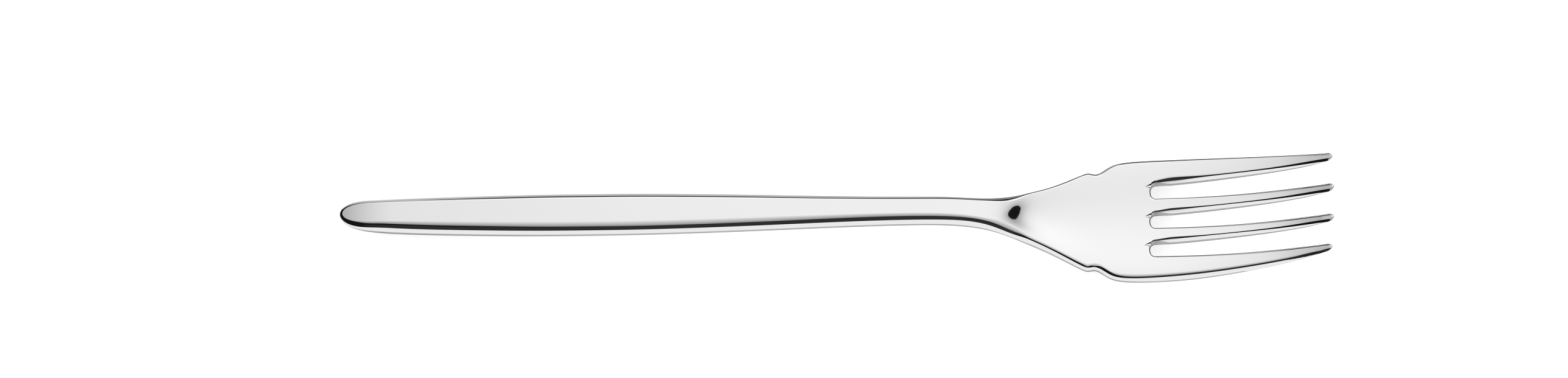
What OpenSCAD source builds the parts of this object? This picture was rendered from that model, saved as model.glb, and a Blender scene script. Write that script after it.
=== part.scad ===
// Fish fork, forged and polished from one bar of stainless steel.
// X runs along the fork from the butt to the tips, Y across it, and Z up from the table that it lies on.
// The origin is on the table, under the middle of the fork. All sizes are in millimetres.

/* [Handle] */
// Length of the handle, from the butt to the start of the neck
handle_len = 104; // [80:1:130]
// Width of the handle at its widest
handle_width = 8.2; // [6.5:0.1:11]
// Distance from the butt to the widest place of the handle
handle_widest_at = 46; // [34:1:60]
// Thickness of the handle
handle_thick = 4.4; // [3.4:0.1:6]
// Width of the butt, before its end is rounded off
butt_width = 5.4; // [4.4:0.1:7]
// Thickness of the butt
butt_thick = 3.3; // [2.4:0.1:4.2]
// Length over which the butt is rounded off
butt_round = 5; // [3:0.5:8]

/* [Neck] */
// Length of the neck, from the end of the handle to the palm
neck_len = 22; // [18:1:30]
// Width of the neck at its narrowest
neck_width = 5.5; // [4.4:0.1:7]
// Distance from the start of the neck to its narrowest place
neck_waist_at = 9; // [7:0.5:11]
// Thickness of the neck
neck_thick = 4.1; // [3:0.1:5.4]
// Height that the crest of the neck is drawn up to, above the butt
neck_rise = 4.8; // [3:0.1:8]

/* [Palm] */
// Length of the palm, from the neck to the roots of the slots
palm_len = 26.2; // [24:0.5:34]
// Width of the palm at the roots of the slots
palm_width = 24.7; // [22:0.2:28]
// Thickness of the palm
palm_thick = 2.6; // [1.8:0.1:3.4]
// Depth of the shallow dish across the palm
dish_depth = 0.6; // [0.2:0.1:1.2]
// Distance from the roots of the slots back to the two side notches
notch_back = 11.5; // [10:0.1:15]
// Width over the two spurs on the neck side of the notches
spur_width = 20.4; // [17:0.2:22]
// Depth of each side notch, measured from the spur
notch_depth = 0.7; // [0.2:0.1:1.4]

/* [Tines] */
// Length of the tines, from the roots of the slots to the tips
tine_len = 32.8; // [26:0.5:40]
// Height of the tips above the butt, at mid thickness
tip_rise = 10.3; // [6:0.2:16]
// Width over the outer tines at the tips
tip_span = 19.8; // [18.8:0.2:22]
// Thickness of the tines at the tips
tip_thick = 1.3; // [1:0.1:2]
// Length over which each tip is rounded off
tip_round = 1.5; // [1:0.1:3]
// Distance by which the tips of the outer tines stand back
tip_set_back = 0.3; // [0:0.1:1]
// Width of the slots at their roots
slot_width = 3.2; // [2.6:0.1:3.6]
// Width of the slots at the tips
slot_tip_width = 4.2; // [3.8:0.1:4.6]
// Distance between the middles of the slots at their roots
slot_pitch = 5.95; // [5.6:0.05:6.4]
// Distance between the middles of the slots at the tips
slot_tip_pitch = 6.2; // [5.9:0.05:6.4]
// Depth of the rounded end of each slot
slot_round = 1.3; // [0.8:0.1:2]

/* [Edges] */
// Distance over which the butt rounds down to its end
butt_edge = 0.6; // [0.4:0.05:1]
// Distance over which the handle rounds down to its edges
handle_edge = 2.4; // [1.6:0.1:2.6]
// Distance over which the palm rounds down to its outer edges
palm_edge = 1.15; // [0.8:0.05:1.6]
// Distance over which the tines round down to their outer edges at the tips
tip_edge = 0.7; // [0.5:0.05:0.9]
// Rounding of the upper edges of the slots
slot_edge = 0.7; // [0.4:0.05:0.9]
// Rounding of the lower edges of the slots and the tips
slot_low_edge = 0.35; // [0.2:0.05:0.6]
// Draft of the head: share of the half thickness by which its outer edge lies low along the outer tines
tine_draft = 0.72; // [0:0.02:0.8]

/* [Hidden] */
steel = [0.78, 0.78, 0.8];
tines = 4;

// Places along the fork, measured from the butt
waist_at = handle_len + neck_waist_at;
palm_at = handle_len + neck_len;
root_at = palm_at + palm_len;
fork_len = root_at + tine_len;
notch_at = root_at - notch_back;

// Passes that turn a list of points into a smooth curve
curve_passes = 5;
// Powers of the rounded edges and of the slots' ends: 2 is a quarter of an ellipse, more is squarer
edge_power = 2;
slot_power = 2.3;
// Least share of an edge's rounding, which leaves a thin upright wall at the very edge
edge_wall = 0.02;
// Share of a rounded end that is cut off flat
end_flat = 0.005;
// Step of the slope taken along the outline
slope_step = 0.1;
// Share of the rounding that a full draft takes off the lower edge
draft_tuck = 0.55;
// How much closer the cells lie towards the edges and the roots of the slots: 1 is even
bar_closeness = 2;
tine_closeness = 2.5;
root_closeness = 1.6;

// Cells across each solid, and along the stretches of its length
handle_cells = 12;
tine_cells = 8;
slot_cells = 8;
butt_rows = 6;
handle_rows = 26;
neck_rows = 14;
flare_rows = 7;
notch_rows = 15;
root_rows = 8;
tine_rows = 12;
tip_rows = 6;

function mix(a, b, t) = a + (b - a) * t;
function steps(from, to, count) = [for (i = [0 : count]) mix(from, to, i / count)];
function after_first(list) = [for (i = [1 : len(list) - 1]) list[i]];

// Smooth curve drawn towards a list of points: every pass puts a point between each two neighbours and then
// averages neighbours twice, which ends in a cubic spline. It starts and ends on the first and last points.
function averaged(points) = [for (i = [0 : len(points) - 2]) (points[i] + points[i + 1]) / 2];
function doubled(points) = [for (i = [0 : 2 * len(points) - 2])
    (points[floor(i / 2)] + points[ceil(i / 2)]) / 2];
function refined(points, passes) =
    passes == 0 ? points : refined(averaged(averaged(doubled(points))), passes - 1);
function curve(points) = let (first = points[0], last = points[len(points) - 1])
    refined([first, first, each points, last, last], curve_passes);

// Outline in plan: distance from the butt and half width. In this curve and the next ones, a point between
// named places or sizes lies at the given share of the way from the first to the second.
handle_half = handle_width / 2;
neck_half = neck_width / 2;
spur_half = spur_width / 2;
palm_half = palm_width / 2;
outline = curve([
    [0, butt_width / 2],
    [0.25 * handle_widest_at, mix(butt_width / 2, handle_half, 0.58)],
    [0.5 * handle_widest_at, mix(butt_width / 2, handle_half, 0.8)],
    [0.78 * handle_widest_at, handle_half],
    [handle_widest_at, handle_half],
    [mix(handle_widest_at, waist_at, 0.15), handle_half],
    [mix(handle_widest_at, waist_at, 0.42), mix(handle_half, neck_half, 0.3)],
    [mix(handle_widest_at, waist_at, 0.7), mix(handle_half, neck_half, 0.8)],
    [mix(handle_widest_at, waist_at, 0.88), neck_half],
    [waist_at, neck_half],
    [mix(waist_at, notch_at, 0.27), mix(neck_half, spur_half, 0.01)],
    [mix(waist_at, notch_at, 0.47), mix(neck_half, spur_half, 0.21)],
    [mix(waist_at, notch_at, 0.69), mix(neck_half, spur_half, 0.49)],
    [mix(waist_at, notch_at, 0.89), mix(neck_half, spur_half, 0.88)],
    [mix(waist_at, notch_at, 0.956), spur_half],
    [notch_at, spur_half - notch_depth],
    [mix(notch_at, root_at, 0.12), mix(spur_half, palm_half, 0.07)],
    [mix(notch_at, root_at, 0.27), mix(spur_half, palm_half, 0.7)],
    [mix(notch_at, root_at, 0.52), mix(spur_half, palm_half, 0.95)],
    [root_at, palm_half],
    [mix(root_at, fork_len, 0.23), mix(palm_half, tip_span / 2, 0.06)],
    [mix(root_at, fork_len, 0.47), mix(palm_half, tip_span / 2, 0.27)],
    [mix(root_at, fork_len, 0.75), mix(palm_half, tip_span / 2, 0.58)],
    [fork_len, tip_span / 2]
]);

// Half thickness along the fork
thickness = curve([
    [0, butt_thick / 2],
    [butt_round, mix(butt_thick, handle_thick, 0.7) / 2],
    [3 * butt_round, handle_thick / 2],
    [handle_widest_at, handle_thick / 2],
    [handle_len - neck_waist_at, handle_thick / 2],
    [handle_len, mix(handle_thick, neck_thick, 0.4) / 2],
    [waist_at, neck_thick / 2],
    [mix(waist_at, palm_at, 0.55), mix(neck_thick, palm_thick, 0.35) / 2],
    [mix(palm_at, notch_at, 0.14), mix(neck_thick, palm_thick, 0.84) / 2],
    [mix(palm_at, notch_at, 0.7), palm_thick / 2],
    [root_at, palm_thick / 2],
    [mix(root_at, fork_len, 0.28), mix(palm_thick, tip_thick, 0.08) / 2],
    [mix(root_at, fork_len, 0.6), mix(palm_thick, tip_thick, 0.4) / 2],
    [mix(root_at, fork_len, 0.85), mix(palm_thick, tip_thick, 0.75) / 2],
    [fork_len, tip_thick / 2]
]);

// Height of the mid-plane at the edges, above that of the butt
spine = curve([
    [0, 0],
    [0.14 * handle_len, 0.02 * neck_rise],
    [0.58 * handle_len, 0.45 * neck_rise],
    [handle_len, 0.92 * neck_rise],
    [waist_at, neck_rise],
    [mix(waist_at, palm_at, 0.38), 0.88 * neck_rise],
    [mix(waist_at, palm_at, 0.77), 0.66 * neck_rise],
    [mix(palm_at, notch_at, 0.14), 0.33 * neck_rise],
    [mix(palm_at, notch_at, 0.55), 0.1 * neck_rise],
    [notch_at, -0.04 * neck_rise],
    [mix(notch_at, root_at, 0.55), 0.03 * tip_rise],
    [mix(root_at, fork_len, 0.12), 0.145 * tip_rise],
    [mix(root_at, fork_len, 0.42), 0.36 * tip_rise],
    [mix(root_at, fork_len, 0.73), 0.65 * tip_rise],
    [fork_len, tip_rise]
]);

// Depth of the dish on the middle line of the head
dish = curve([
    [0, 0],
    [waist_at, 0],
    [mix(waist_at, palm_at, 0.7), 0],
    [mix(waist_at, palm_at, 0.88), 0.06 * dish_depth],
    [mix(palm_at, notch_at, 0.08), 0.62 * dish_depth],
    [mix(palm_at, notch_at, 0.4), 0.9 * dish_depth],
    [mix(palm_at, notch_at, 0.85), dish_depth],
    [root_at, dish_depth],
    [mix(root_at, fork_len, 0.7), 0.9 * dish_depth],
    [fork_len, 0.6 * dish_depth]
]);

// Half width of the dish, which starts as a narrow scoop on the neck
scoop = curve([
    [0, neck_half],
    [waist_at, neck_half],
    [palm_at, mix(neck_half, palm_half, 0.05)],
    [mix(palm_at, notch_at, 0.5), mix(neck_half, palm_half, 0.5)],
    [notch_at, mix(neck_half, palm_half, 0.9)],
    [root_at, palm_half],
    [fork_len, palm_half]
]);

// Distance over which the top face rounds down to the outer edge
edge_run = curve([
    [0, butt_edge],
    [0.1 * butt_round, butt_edge],
    [0.5 * butt_round, mix(butt_edge, handle_edge, 0.6)],
    [1.2 * butt_round, handle_edge],
    [handle_widest_at, handle_edge],
    [handle_len, handle_edge],
    [waist_at, 0.95 * handle_edge],
    [mix(waist_at, palm_at, 0.6), mix(handle_edge, palm_edge, 0.35)],
    [mix(waist_at, palm_at, 0.95), mix(handle_edge, palm_edge, 0.7)],
    [mix(palm_at, notch_at, 0.25), 0.8 * palm_edge],
    [mix(palm_at, notch_at, 0.75), 0.8 * palm_edge],
    [root_at, palm_edge],
    [fork_len, tip_edge]
]);

// Share of the half thickness by which the outer edge lies below the mid-plane
draft = curve([
    [0, 0],
    [handle_len, 0],
    [waist_at, 0.1 * tine_draft],
    [mix(waist_at, palm_at, 0.7), 0.6 * tine_draft],
    [mix(palm_at, notch_at, 0.2), 0.6 * tine_draft],
    [mix(palm_at, notch_at, 0.7), 0.2 * tine_draft],
    [notch_at, 0.1 * tine_draft],
    [mix(notch_at, root_at, 0.6), 0.15 * tine_draft],
    [mix(root_at, fork_len, 0.03), 0.7 * tine_draft],
    [mix(root_at, fork_len, 0.22), tine_draft],
    [mix(root_at, fork_len, 0.6), 0.9 * tine_draft],
    [mix(root_at, fork_len, 0.82), 0.3 * tine_draft],
    [mix(root_at, fork_len, 0.9), 0],
    [fork_len, 0]
]);

// Rounding of an end: 1 at the start of the rounding and almost 0 at the end itself
function ended(from_end, run) = sqrt(1 - pow((1 - end_flat) * max(1 - from_end / run, 0), 2));

function half_width(u) = lookup(u, outline) * ended(u, butt_round);

// Slots: number 1 to 3 from the -Y side, each with its middle and its half width at a place along the fork.
// A slot opens fastest at its root, so the tines' sides are slightly bowed.
function along_tine(u) = max(u - root_at, 0) / tine_len;
function slot_middle(u, slot) = (slot - tines / 2) * mix(slot_pitch, slot_tip_pitch, along_tine(u));
function slot_half(u) = mix(slot_width, slot_tip_width, sin(90 * along_tine(u))) / 2;

// Tines: number 1 to 4 from the -Y side, each between two slots or between a slot and the outline
function tine_low(u, tine) = tine == 1 ? -half_width(u) : slot_middle(u, tine - 1) + slot_half(u);
function tine_high(u, tine) = tine == tines ? half_width(u) : slot_middle(u, tine) - slot_half(u);
function tip_at(tine) = fork_len - (tine == 1 || tine == tines ? tip_set_back : 0);

// Distance to the outline from a place inside it, from the outline's squared half width and its slope
function outline_gap(u, y) = let (
        before = max(u - slope_step, 0),
        after = u + slope_step,
        slope = (pow(half_width(after), 2) - pow(half_width(before), 2)) / (2 * (after - before)))
    (pow(half_width(u), 2) - y * y) / (2 * norm([slope, y, slope_step]));

// Distance to a slot, whose end is half a superellipse: the place's size in it, less 1, over the size's slope
function slot_gap(u, y, slot) = let (
        half = slot_half(u),
        side = abs(y - slot_middle(u, slot)) / half,
        into_palm = max(root_at - u, 0) / slot_round,
        size = max(pow(pow(into_palm, slot_power) + pow(side, slot_power), 1 / slot_power), end_flat),
        slope = [pow(into_palm / size, slot_power - 1) / slot_round, pow(side / size, slot_power - 1) / half])
    (size - 1) / max(norm(slope), end_flat);

// Distance to the tip of a tine, which is half an ellipse in plan
function tip_gap(u, y, tine) = let (
        low = tine_low(u, tine),
        high = tine_high(u, tine),
        half = (high - low) / 2,
        into_tip = (1 - end_flat) * max(1 - (tip_at(tine) - u) / tip_round, 0),
        side = (y - (low + high) / 2) / half,
        size = norm([into_tip, side]))
    (1 - size) * size / max(norm([into_tip / tip_round, side / half]), end_flat);

// Fullness of a rounded edge: from almost 0 at the edge to 1 where the rounding ends
function fullness(share) =
    pow(1 - pow(1 - min(max(share, edge_wall), 1), edge_power), 1 / edge_power);

// Share of the half thickness that is left at an edge rounded as deep as its rounding is wide
function rounded(gap, run, half) = 1 - min(run / half, 1) * (1 - fullness(gap / run));

// The same at a place, from its nearest slot and, on a tine, its tip. Tine 0 is any other solid.
function inner_share(u, y, tine, slot_run, tip_run) = min([
        for (slot = [1 : tines - 1]) rounded(slot_gap(u, y, slot), slot_run, lookup(u, thickness)),
        if (tine > 0 && u > tip_at(tine) - tip_round)
            rounded(tip_gap(u, y, tine), tip_run, lookup(u, thickness))]);

// Mid-plane, top face and underside at a place. Across the head the dish is a bell.
function mid_height(u, y) = let (across = min(pow(y / lookup(u, scoop), 2), 1))
    lookup(u, spine) - lookup(u, dish) * pow(1 - across, 2);
function top_height(u, y, tine) = let (
        low = lookup(u, draft),
        outer = (1 + low) * fullness(outline_gap(u, y) / lookup(u, edge_run)) - low)
    mid_height(u, y) + lookup(u, thickness) * min(outer, inner_share(u, y, tine, slot_edge, tip_edge));
function low_height(u, y, tine) = let (
        low = lookup(u, draft),
        run = lookup(u, edge_run) * (1 - draft_tuck * low),
        outer = low + (1 - low) * fullness(outline_gap(u, y) / run))
    mid_height(u, y)
        - lookup(u, thickness) * min(outer, inner_share(u, y, tine, slot_low_edge, slot_low_edge));

// The table touches the lowest place under the middle line of the handle, neck and palm
table = min([for (u = steps(butt_round / 2, root_at - 2 * slot_round, 200)) low_height(u, 0, 0)]);

function top_point(place, tine) =
    [place[0] - fork_len / 2, place[1], top_height(place[0], place[1], tine) - table];
function low_point(place, tine) =
    [place[0] - fork_len / 2, place[1], low_height(place[0], place[1], tine) - table];

// Shares across a solid from -1 to 1, closer together towards the edges
function across(cells, closeness) =
    [for (t = steps(-1, 1, cells)) sign(t) * (1 - pow(1 - abs(t), closeness))];

// Closed solid over rows of places in plan, with the top face and the underside worked out at each place
module plate(places, tine = 0) {
    rows = len(places);
    columns = len(places[0]);
    tops = [for (row = places) for (place = row) top_point(place, tine)];
    lows = [for (row = places) for (place = row) low_point(place, tine)];
    function top_at(row, column) = row * columns + column;
    function low_at(row, column) = rows * columns + top_at(row, column);
    function quad(a, b, c, d) = [[a, b, c], [a, c, d]];
    faces = [
        for (i = [0 : rows - 2]) for (j = [0 : columns - 2]) each concat(
            quad(top_at(i, j), top_at(i, j + 1), top_at(i + 1, j + 1), top_at(i + 1, j)),
            quad(low_at(i, j), low_at(i + 1, j), low_at(i + 1, j + 1), low_at(i, j + 1))),
        for (i = [0 : rows - 2]) let (j = columns - 1) each concat(
            quad(low_at(i, 0), top_at(i, 0), top_at(i + 1, 0), low_at(i + 1, 0)),
            quad(low_at(i + 1, j), top_at(i + 1, j), top_at(i, j), low_at(i, j))),
        for (j = [0 : columns - 2]) let (i = rows - 1) each concat(
            quad(low_at(0, j + 1), top_at(0, j + 1), top_at(0, j), low_at(0, j)),
            quad(low_at(i, j), top_at(i, j), top_at(i, j + 1), low_at(i, j + 1)))
    ];
    polyhedron(concat(tops, lows), faces);
}

// Rows of places across the whole width of the handle or the neck
function bar_places(stations) =
    [for (u = stations) [for (a = across(handle_cells, bar_closeness)) [u, a * half_width(u)]]];

module handle() {
    rounded = [for (t = steps(0, 1, butt_rows)) butt_round * t * t];
    color(steel) plate(bar_places(concat(rounded, after_first(steps(butt_round, handle_len, handle_rows)))));
}

module neck() {
    color(steel) plate(bar_places(steps(handle_len, palm_at, neck_rows)));
}

// Places along the end of the palm from -Y to +Y: the lands that the tines stand on and the slots' round ends
function land(tine) = let (low = tine_low(root_at, tine), high = tine_high(root_at, tine))
    [for (a = across(tine_cells, tine_closeness)) [root_at, mix(low, high, (a + 1) / 2)]];
function slot_end(slot) = [for (turn = after_first(steps(-90, 90, slot_cells))) if (turn < 90) let (
        back = pow(cos(turn), 2 / slot_power),
        side = sign(turn) * pow(abs(sin(turn)), 2 / slot_power))
    [root_at - slot_round * back, slot_middle(root_at, slot) + slot_half(root_at) * side]];

module palm() {
    spur_start = mix(palm_at, notch_at, 0.65);
    shoulder_end = mix(notch_at, root_at, 0.5);
    stations = concat(
        steps(palm_at, spur_start, flare_rows),
        after_first(steps(spur_start, shoulder_end, notch_rows)),
        after_first([for (t = steps(0, 1, root_rows))
            mix(root_at, shoulder_end, pow(1 - t, root_closeness))]));
    ends = concat(land(1), [for (tine = [2 : tines]) each concat(slot_end(tine - 1), land(tine))]);
    color(steel) plate([for (u = stations) let (share = (u - palm_at) / palm_len) [
        for (end = ends) let (place = mix(palm_at, end[0], share))
            [place, end[1] * half_width(place) / half_width(root_at)]]]);
}

module tine(number) {
    tip_start = tip_at(number) - tip_round;
    rounded = [for (t = steps(0, 1, tip_rows)) mix(tip_start, tip_at(number), 1 - pow(1 - t, 2))];
    stations = concat(steps(root_at, tip_start, tine_rows), after_first(rounded));
    color(steel) plate([for (u = stations) let (
            low = tine_low(u, number),
            high = tine_high(u, number),
            narrowed = ended(tip_at(number) - u, tip_round)) [
        for (a = across(tine_cells, tine_closeness)) [u, mix(low, high, (a * narrowed + 1) / 2)]]], number);
}

handle();
neck();
palm();
tine(1);  // tine_1
tine(2);  // tine_2
tine(3);  // tine_3
tine(4);  // tine_4
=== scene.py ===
"""Fish fork: mirror-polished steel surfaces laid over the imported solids, on a white table under a softbox."""

import math
from functools import partial, partialmethod

import bpy
import numpy as np
from bpy.props import FloatProperty, FloatVectorProperty, PointerProperty
from mathutils import Euler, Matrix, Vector


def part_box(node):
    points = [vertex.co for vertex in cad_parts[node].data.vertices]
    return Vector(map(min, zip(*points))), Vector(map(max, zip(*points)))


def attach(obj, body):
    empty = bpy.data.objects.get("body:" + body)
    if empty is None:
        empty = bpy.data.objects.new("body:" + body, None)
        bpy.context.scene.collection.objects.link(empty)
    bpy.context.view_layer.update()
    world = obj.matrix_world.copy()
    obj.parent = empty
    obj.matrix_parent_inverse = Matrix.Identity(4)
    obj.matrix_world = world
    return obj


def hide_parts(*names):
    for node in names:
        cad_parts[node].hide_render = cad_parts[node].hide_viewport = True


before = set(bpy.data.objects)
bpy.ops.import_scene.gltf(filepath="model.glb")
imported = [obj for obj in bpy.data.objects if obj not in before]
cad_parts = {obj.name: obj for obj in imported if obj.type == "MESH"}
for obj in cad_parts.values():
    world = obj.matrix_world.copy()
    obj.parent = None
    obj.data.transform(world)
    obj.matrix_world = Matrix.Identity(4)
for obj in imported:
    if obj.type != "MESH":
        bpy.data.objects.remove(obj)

bl_info = {
    "name": "Fish Fork",
    "version": (1, 0, 0),
    "blender": (4, 5, 0),
    "location": "3D View > Sidebar > Fork",
    "description": "Builds the polished surfaces, the steel finish and the stage of a four-tined fish fork",
    "category": "Object",
}

MM = 0.001

# Places along the fork, measured from the butt, as the solids have them
BUTT_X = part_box("handle")[0].x
HANDLE_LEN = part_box("handle")[1].x - BUTT_X
PALM_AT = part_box("neck")[1].x - BUTT_X
ROOT_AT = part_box("palm")[1].x - BUTT_X
FORK_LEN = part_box("tine_2")[1].x - BUTT_X
OUTER_TIP_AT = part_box("tine_1")[1].x - BUTT_X
TINES = 4

# Passes that turn a list of points into a smooth curve
CURVE_PASSES = 9
# Powers of the rounded edges and of the slots' ends: 2 is a quarter of an ellipse, more is squarer
EDGE_POWER = 2.0
SLOT_POWER = 2.6
# Share of a rounded end that is cut off flat
END_FLAT = 0.0002
# Reach of the butt's round end, in lengths of its rounding, and the power of its curve
BUTT_REACH, BUTT_POWER = 1.3, 3
# Least share of the width between the outer edges' roundings, and most of a tine's in its roundings
BAR_FLAT, TINE_ROUND = 0.3, 0.94
# Share of the way along the tines from which their tips taper
TAPER_START = 0.6
# Shares of that way between which the bevel of the outer edge starts
OUTER_START, OUTER_FULL = 0.3, 0.55
# Middle of an ear's groove at its point and at the slot, as shares of the slot's half width
EAR_POINT, EAR_MOUTH = 0.42, 0.5
# Run of the groove's far side, as a share of its half width
EAR_FAR_SIDE = 0.47
# Share of the rounding that a full draft takes off the lower edge
DRAFT_TUCK = 0.55
# Steps of the slopes taken along the outline and over the surface
OUTLINE_STEP = 0.1 * MM
SURFACE_STEP = 0.008 * MM
# Slopes of a near edge's bevel and of the side below it
BEVEL, STEEP = 1.2, 6.0
# Least share of a near edge's columns that is given to the side below its crease
LEAST_SIDE = 0.1
# Name of the corner value that marks the strip along the lower edges, which gets more roughness and painted
# shade in its colour
STRIP = "lower_strip"
# Upright parts of the normals between which that strip starts, on top faces and on all others
STRIP_TOP, STRIP_LOW = (0.14, 0.08), (-0.9, -0.55)
# Places at which the underside is searched for its lowest
REST_PLACES = 400
# Faces closer than this are one edge
CLOSED = 1e-9

# Stretch of the steel's polishing lines, clouds and scratches, and the noise that counts as a scratch
LINE_STRETCH, CLOUD_STRETCH, SCRATCH_STRETCH = (12, 900, 900), (130, 130, 130), (90, 2600, 2600)
SCRATCH_SPAN = 0.62, 0.8
STEEL = "polished_steel"
WHITE, BLACK = (1, 1, 1, 1), (0, 0, 0, 1)

# Half the table's width, the radius of the dark walls and the far end of the back card
TABLE_REACH, WALL_RADIUS, BACK_CARD_END = 15.0, 4.0, -1.0
# Places behind the fork and along it between which the mirrored table darkens, and its share at the handle
SHADE_BEHIND, SHADE_ALONG, HANDLE_SHADE = (4 * MM, 16 * MM), (-20 * MM, 40 * MM), 0.6
# Hidden shares of the surroundings between which the contact shade grows, and the rays that find them
CONTACT_SPAN, CONTACT_RAYS = (0.1, 0.6), 16
# Squared distances to the sides between which the dark walls change, in square metres
WALL_SPAN = 0.1, 1.5
# Place on the table that the camera looks at, and its clipping distances
AIM = -9.8 * MM, 7.3 * MM, 0
CLIP_START, CLIP_END = 0.1, 100.0


def length(name, description, millimetres):
    """Property for a length, with its default given in millimetres."""
    return FloatProperty(
        name=name,
        description=description,
        default=millimetres * MM,
        min=0.0,
        precision=5,
        subtype="DISTANCE",
        unit="LENGTH",
    )


def share(name, description, default):
    """Property for a share. A brightness or a power may lie past the end of its slider."""
    return FloatProperty(
        name=name,
        description=description,
        default=default,
        min=0.0,
        soft_max=1.0,
        subtype="FACTOR",
    )


def angle(name, description, degrees):
    """Property for an angle, with its default given in degrees."""
    return FloatProperty(name=name, description=description, default=math.radians(degrees), subtype="ANGLE")


def colour(name, description, default):
    """Property for a colour."""
    return FloatVectorProperty(name=name, description=description, default=default, size=3, subtype="COLOR")


class ForkSizes(bpy.types.PropertyGroup):
    """Sizes of the fork: those of its solids, and those of the finer forms of its surfaces."""

    handle_width: length("Handle width", "Width of the handle at its widest", 8.2)
    handle_widest_at: length("Handle widest at", "Distance from the butt to the widest place", 46)
    handle_thick: length("Handle thickness", "Thickness of the handle", 4.4)
    butt_width: length("Butt width", "Width of the butt before its rounding", 5.4)
    butt_thick: length("Butt thickness", "Thickness of the butt", 3.3)
    butt_round: length("Butt rounding", "Length over which the butt is rounded off", 5)
    butt_nose: length("Butt nose", "Length over which the butt thins", 10)
    butt_lift: share("Butt lift", "Lift of the thinned butt: 1 thins it from below only", 0.65)
    butt_nose_thick: share("Butt nose thickness", "Share of the thickness left at the butt's end", 0.25)
    neck_width: length("Neck width", "Width of the neck at its narrowest", 5.5)
    neck_waist_at: length("Neck waist at", "Distance from its start to its narrowest place", 9)
    neck_thick: length("Neck thickness", "Thickness of the neck", 4.1)
    neck_rise: length("Neck rise", "Height of the neck's crest above the butt", 4.8)
    palm_width: length("Palm width", "Width of the palm at the roots of the slots", 24.7)
    palm_thick: length("Palm thickness", "Thickness of the palm", 2.6)
    dish_depth: length("Dish depth", "Depth of the shallow dish across the palm", 0.6)
    dish_skew: share("Dish skew", "Slant of the dish's start: length along per width across", 0.7)
    dish_shift: length("Dish shift", "Shift of the dish's start towards +Y", 1.2)
    notch_back: length("Notch distance", "Distance from the slots' roots to the notches", 11.5)
    spur_width: length("Spur width", "Width over the spurs beside the notches", 20.4)
    notch_depth: length("Notch depth", "Depth of each notch, from the spur", 0.7)
    tip_rise: length("Tip rise", "Height of the tips above the butt, at mid thickness", 10.15)
    tip_span: length("Tip span", "Width over the outer tines at the tips", 19.8)
    tip_thick: length("Tip thickness", "Thickness of the tines at the tips", 1.3)
    tip_round: length("Tip rounding", "Length over which each tip is rounded off", 1.1)
    tip_nose: length("Tip nose", "Length over which the tips thin, from below", 6)
    tip_nose_thick: share("Tip nose thickness", "Share of the thickness left at the tips' ends", 0.35)
    tip_taper: length("Tip taper", "What the slots gain on each side by the tips", 0.22)
    slot_width: length("Slot width", "Width of the slots at their roots", 3.2)
    slot_tip_width: length("Slot tip width", "Width of the slots at the tips", 4.2)
    slot_pitch: length("Slot pitch", "Distance between the slots' middles at their roots", 5.95)
    slot_tip_pitch: length("Slot tip pitch", "Distance between the slots' middles at the tips", 6.2)
    slot_round: length("Slot rounding", "Depth of the rounded end of each slot", 1.15)
    ear_len: length("Ear length", "Length of the groove from each slot into the palm", 1.25)
    ear_depth: length("Ear depth", "Depth of that groove where it meets the slot", 0.26)
    ear_width: length("Ear width", "Width of that groove where it meets the slot", 1.0)
    butt_edge: length("Butt edge", "Run of the butt's rounding", 0.6)
    handle_edge: length("Handle edge", "Run of the handle's rounding", 2.4)
    palm_edge: length("Palm edge", "Run of the palm's rounding", 1.15)
    tip_edge: length("Tip edge", "Run of the outer rounding at the tips", 0.7)
    end_edge: length("End edge", "Run of the upper rounding at the slots' ends", 0.35)
    far_edge: length("Far edge", "Run of the tines' upper +Y rounding, midway", 0.9)
    near_edge: length("Near edge", "Run of the tines' upper -Y bevel, midway", 0.12)
    nose_edge: length("Nose edge", "Run of that bevel at the tips", 0.38)
    root_edge: length("Root edge", "What that bevel gains at the roots", 0.2)
    root_spread: share("Root spread", "Share that the +Y side's slot adds to that gain", 1.0)
    outer_edge: length("Outer edge", "Run of the outer -Y bevel, near the tip", 0.48)
    flank_start: length("Flank start", "Length in which the tines' near sides start", 3)
    root_under: share("Root under", "Share of half thickness lost under the slots' ends", 0.75)
    flank_draft: share("Flank draft", "Share of half thickness by which near edges lie low", 0.15)
    low_edge: length("Lower edge", "Run of the tines' lower rounding", 0.35)
    tine_draft: share("Tine draft", "Share of half thickness by which outer edges lie low", 0.55)


class ForkFinish(bpy.types.PropertyGroup):
    """Finish of the steel, and the painted shade in the colour of its lower edges' strip."""

    steel: colour("Steel", "Colour of the polished steel", (0.90, 0.90, 0.905))
    roughness: share("Roughness", "Roughness of the polish", 0.03)
    wear: share("Wear", "What the finest scratches add to that roughness", 0.03)
    grain: share("Grain", "What the polishing lines take off the colour", 0.03)
    satin: share("Satin", "Roughness of the narrow strip along the lower edges", 0.28)
    # Painted shade: the lower edges' strip keeps only this share of the colour, standing in for the shaded
    # table under the fork that they mirror
    strip_painted_shade: share("Strip painted shade", "Share of the colour that this strip has", 0.5)


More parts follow.
